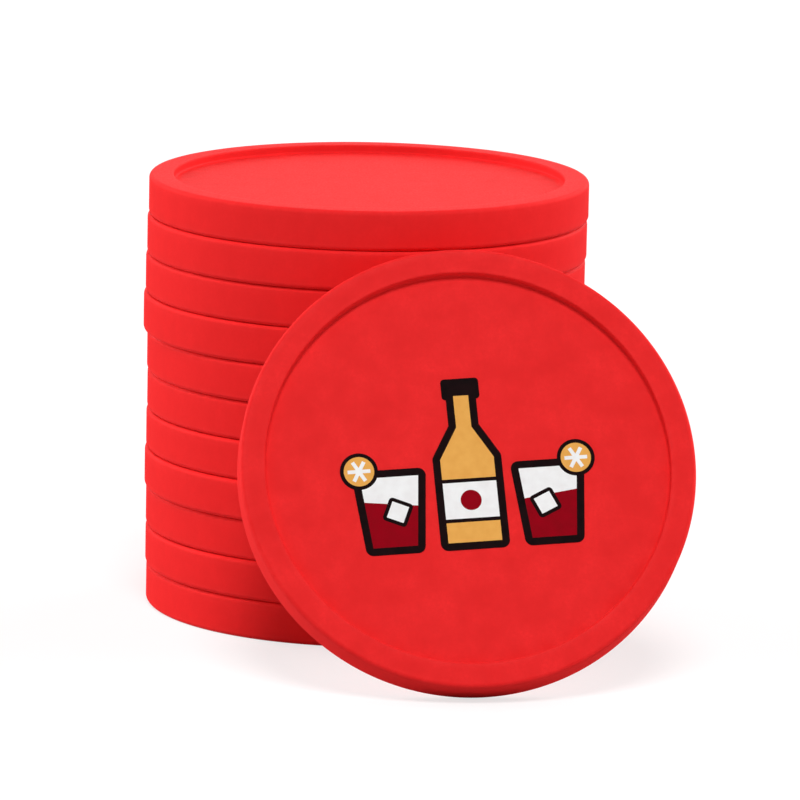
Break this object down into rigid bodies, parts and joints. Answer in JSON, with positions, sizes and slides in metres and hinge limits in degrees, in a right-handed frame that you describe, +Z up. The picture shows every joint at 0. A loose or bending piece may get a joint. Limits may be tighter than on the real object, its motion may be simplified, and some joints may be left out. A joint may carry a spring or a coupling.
{
  "type": "drink chip",
  "caption": "Straight stack of round red plastic drink chips with raised rims, and a printed chip leaning on its front; every chip lifts off.",
  "frame": {"origin": "centre of the bottom chip of the stack, on the table", "axes": "+Z up along the stack, -Y towards the front, where a chip leans on the stack, +X to the right"},
  "size_m": [0.0481, 0.0599, 0.0385],
  "materials": {
    "chip_plastic": "fine matt moulded plastic",
    "white_ink": "flat printed ink",
    "black_ink": "flat printed ink",
    "wine_ink": "flat printed ink",
    "amber_ink": "flat printed ink"
  },
  "bodies": {
    "stack_chip_01": {"stack_chip_01": "chip_plastic"},
    "stack_chip_02": {"stack_chip_02": "chip_plastic"},
    "stack_chip_03": {"stack_chip_03": "chip_plastic"},
    "stack_chip_04": {"stack_chip_04": "chip_plastic"},
    "stack_chip_05": {"stack_chip_05": "chip_plastic"},
    "stack_chip_06": {"stack_chip_06": "chip_plastic"},
    "stack_chip_07": {"stack_chip_07": "chip_plastic"},
    "stack_chip_08": {"stack_chip_08": "chip_plastic"},
    "stack_chip_09": {"stack_chip_09": "chip_plastic"},
    "stack_chip_10": {"stack_chip_10": "chip_plastic"},
    "stack_chip_11": {"stack_chip_11": "chip_plastic"},
    "leaning_chip": {"leaning_chip": "chip_plastic", "print_white": "white_ink", "print_black": "black_ink", "print_wine": "wine_ink", "print_amber": "amber_ink"}
  },
  "joints": [
    {"name": "lift_stack_chip_02", "type": "slide", "parent": "stack_chip_01", "child": "stack_chip_02", "axis": [0, 0, 1], "range_m": [0, 0.012]},
    {"name": "lift_stack_chip_03", "type": "slide", "parent": "stack_chip_02", "child": "stack_chip_03", "axis": [0, 0, 1], "range_m": [0, 0.012]},
    {"name": "lift_stack_chip_04", "type": "slide", "parent": "stack_chip_03", "child": "stack_chip_04", "axis": [0, 0, 1], "range_m": [0, 0.012]},
    {"name": "lift_stack_chip_05", "type": "slide", "parent": "stack_chip_04", "child": "stack_chip_05", "axis": [0, 0, 1], "range_m": [0, 0.012]},
    {"name": "lift_stack_chip_06", "type": "slide", "parent": "stack_chip_05", "child": "stack_chip_06", "axis": [0, 0, 1], "range_m": [0, 0.012]},
    {"name": "lift_stack_chip_07", "type": "slide", "parent": "stack_chip_06", "child": "stack_chip_07", "axis": [0, 0, 1], "range_m": [0, 0.012]},
    {"name": "lift_stack_chip_08", "type": "slide", "parent": "stack_chip_07", "child": "stack_chip_08", "axis": [0, 0, 1], "range_m": [0, 0.012]},
    {"name": "lift_stack_chip_09", "type": "slide", "parent": "stack_chip_08", "child": "stack_chip_09", "axis": [0, 0, 1], "range_m": [0, 0.012]},
    {"name": "lift_stack_chip_10", "type": "slide", "parent": "stack_chip_09", "child": "stack_chip_10", "axis": [0, 0, 1], "range_m": [0, 0.012]},
    {"name": "lift_stack_chip_11", "type": "slide", "parent": "stack_chip_10", "child": "stack_chip_11", "axis": [0, 0, 1], "range_m": [0, 0.012]},
    {"name": "pull_leaning_chip", "type": "slide", "parent": "stack_chip_01", "child": "leaning_chip", "axis": [0.0766, -0.8755, 0.4772], "range_m": [0, 0.025]}
  ]
}
